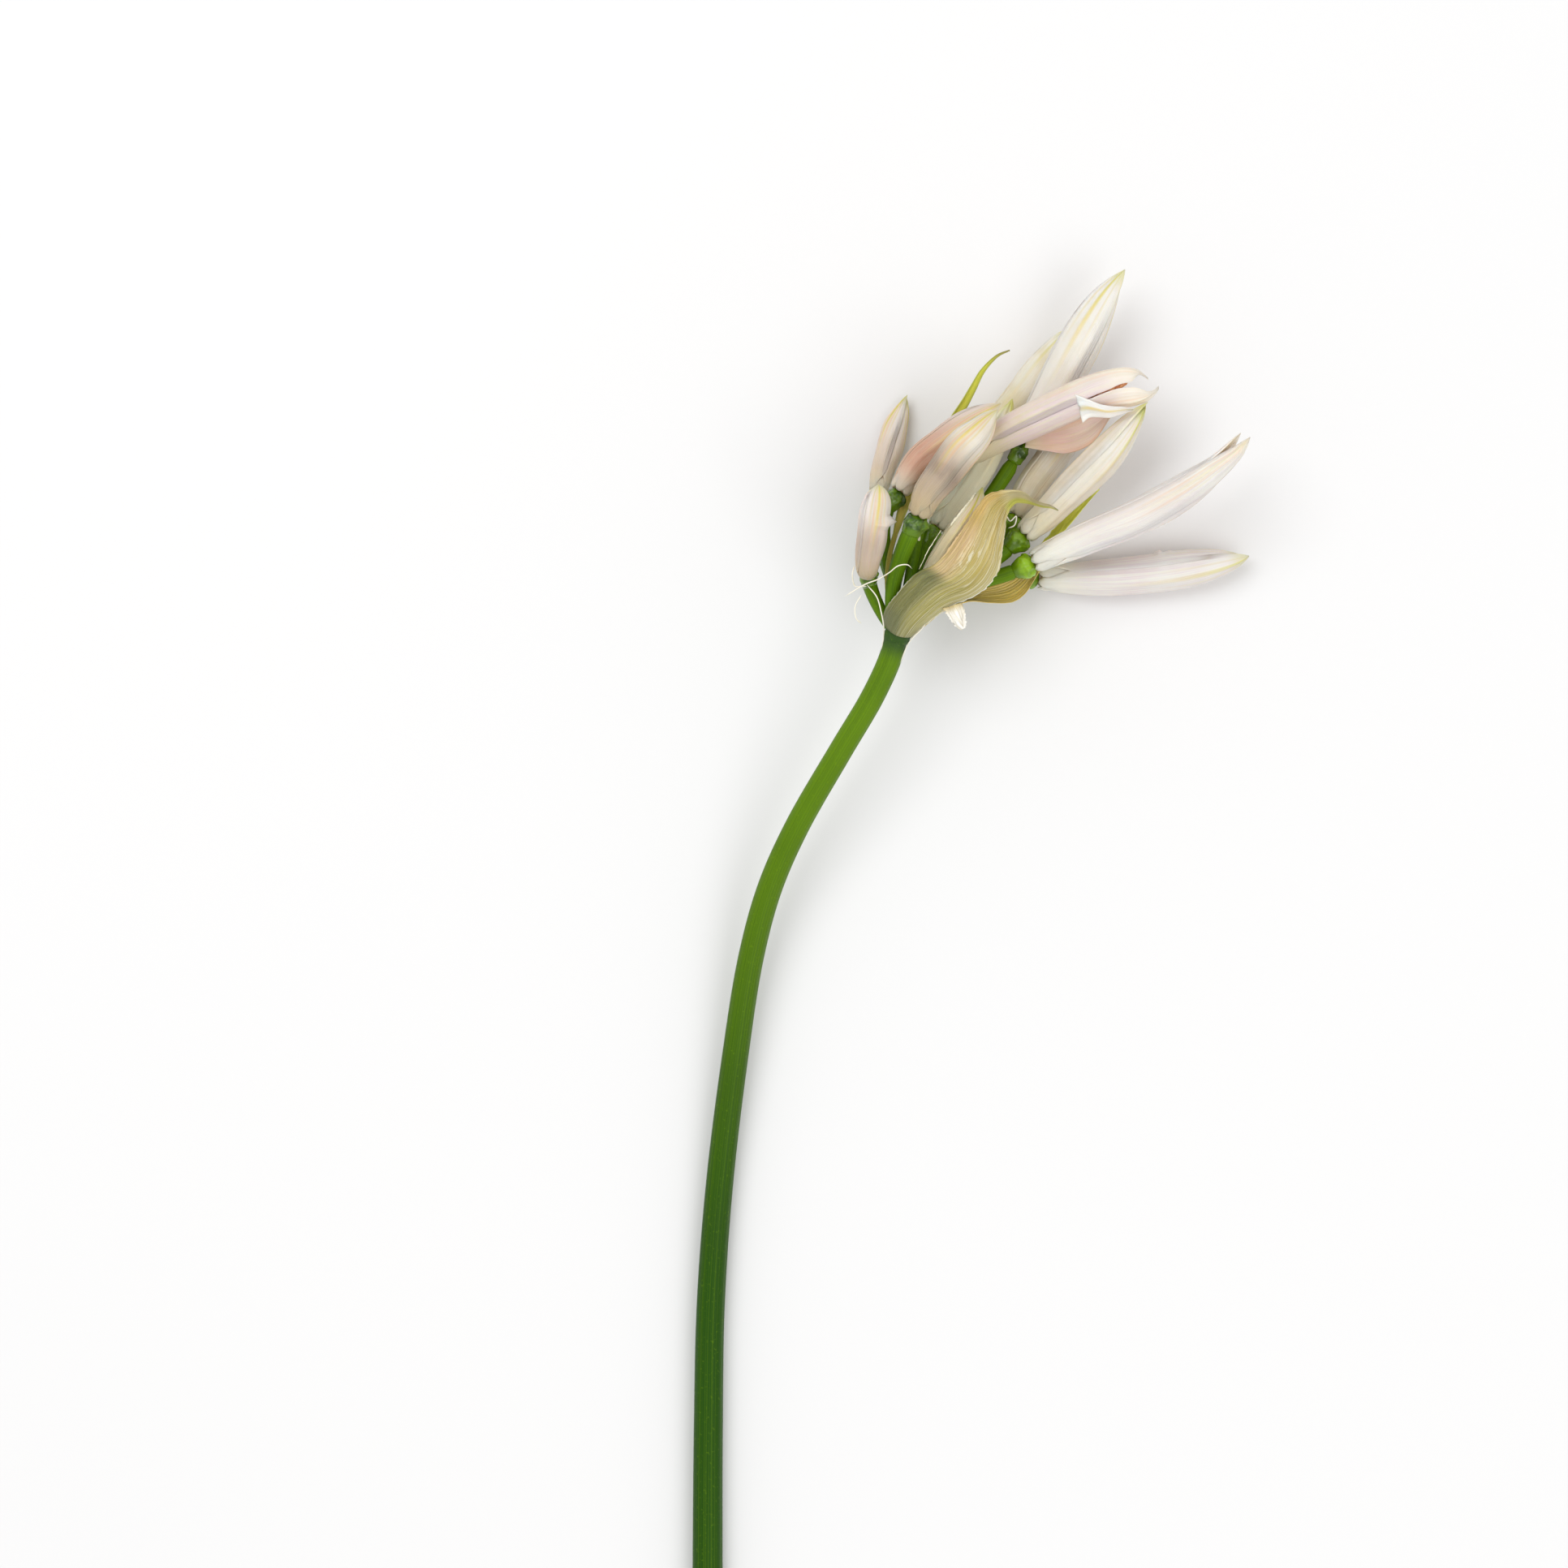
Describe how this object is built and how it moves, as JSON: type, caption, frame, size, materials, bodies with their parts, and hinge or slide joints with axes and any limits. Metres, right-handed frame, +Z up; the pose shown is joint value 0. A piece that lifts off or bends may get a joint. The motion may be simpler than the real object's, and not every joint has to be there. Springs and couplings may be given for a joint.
{
  "type": "nerine",
  "caption": "Cut nerine stem in bud, lying down: curved leafless green scape, umbel of closed pale pink buds on green pedicels, and two papery spathe valves.",
  "frame": {"origin": "middle of the flat underside on which the lower scape rests, at table height", "axes": "+Z up from the table, +Y along the scape from the cut end towards the umbel, +X to the side to which the umbel leans"},
  "size_m": [0.1378, 0.4308, 0.0407],
  "materials": {
    "scape": "satin",
    "petal_white": "satin",
    "petal_blush": "satin",
    "spathe": "satin"
  },
  "bodies": {
    "root": {"scape": "scape", "bud_left_small": "petal_white", "bud_left_rear": "petal_white", "bud_blush_rear": "petal_blush", "bud_front_middle": "petal_white", "bud_pale_middle": "petal_white", "bud_inside_spathe": "petal_white", "bud_top_rear": "petal_white", "bud_top_long": "petal_white", "bud_opening": "petal_blush", "bud_right_rear": "petal_white", "bud_right_middle": "petal_white", "bud_right_long": "petal_white", "bud_right_low": "petal_white", "spathe_front": "spathe", "spathe_rear": "spathe"}
  },
  "joints": []
}
